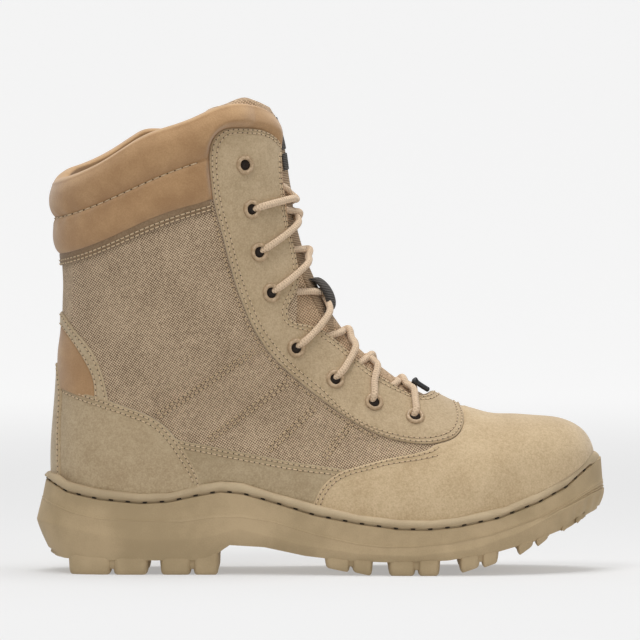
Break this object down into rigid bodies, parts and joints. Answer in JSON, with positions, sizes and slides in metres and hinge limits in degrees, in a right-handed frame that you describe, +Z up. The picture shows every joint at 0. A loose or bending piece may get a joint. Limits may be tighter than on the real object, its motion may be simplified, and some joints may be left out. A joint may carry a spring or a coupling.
{
  "type": "combat boot",
  "caption": "Right laced combat boot with suede and woven upper, padded collar, side zip and lugged cup outsole.",
  "frame": {"origin": "middle of the outsole outline, on the floor", "axes": "+X to the toe, +Y medial, +Z up"},
  "size_m": [0.305, 0.112, 0.2556],
  "materials": {
    "suede_heel": "suede",
    "nubuck": "matte nubuck",
    "eyelet_metal": "coated",
    "suede_eyestay": "suede",
    "suede_trim": "suede",
    "insole": "woven cover",
    "lace": "round braid",
    "black_tag": "moulded",
    "suede_band": "suede",
    "outsole": "matte, moulded",
    "tongue_cloth": "woven, padded",
    "dark_webbing": "woven",
    "nylon": "coarse woven nylon",
    "suede_vamp": "suede",
    "welt": "matte, moulded",
    "zip_tape": "woven tape",
    "zip_metal": "matt coated",
    "zip_coil": "coil"
  },
  "bodies": {
    "boot": {"backstay": "suede_heel", "collar": "nubuck", "collar_band": "nubuck", "eyelet_L1": "eyelet_metal", "eyelet_L2": "eyelet_metal", "eyelet_L3": "eyelet_metal", "eyelet_L4": "eyelet_metal", "eyelet_L5": "eyelet_metal", "eyelet_L6": "eyelet_metal", "eyelet_L7": "eyelet_metal", "eyelet_L8": "eyelet_metal", "eyelet_M1": "eyelet_metal", "eyelet_M2": "eyelet_metal", "eyelet_M3": "eyelet_metal", "eyelet_M4": "eyelet_metal", "eyelet_M5": "eyelet_metal", "eyelet_M6": "eyelet_metal", "eyelet_M7": "eyelet_metal", "eyelet_M8": "eyelet_metal", "eyestay": "suede_eyestay", "heel_counter": "suede_heel", "heel_patch": "nubuck", "heel_trim": "suede_trim", "insole": "insole", "lace_bar": "lace", "lace_cross_1": "lace", "lace_cross_2": "lace", "lace_cross_3": "lace", "lace_cross_4": "lace", "lace_cross_5": "lace", "lace_cross_6": "lace", "lace_tag": "black_tag", "mudguard_lateral": "suede_band", "mudguard_medial": "suede_band", "outsole": "outsole", "tongue": "tongue_cloth", "tongue_label": "dark_webbing", "tongue_loop": "dark_webbing", "upper": "nylon", "vamp": "suede_vamp", "welt": "welt", "zip_band": "zip_tape", "zip_slider": "zip_metal", "zip_teeth": "zip_coil"},
    "pull": {"zip_pull": "zip_metal"}
  },
  "joints": [
    {"name": "pull_hinge", "type": "hinge", "parent": "boot", "child": "pull", "pos_m": [-0.09122, 0.04386, 0.21833], "axis": [0.9875, 0.0468, 0.1504], "range_deg": [0, 150]}
  ]
}
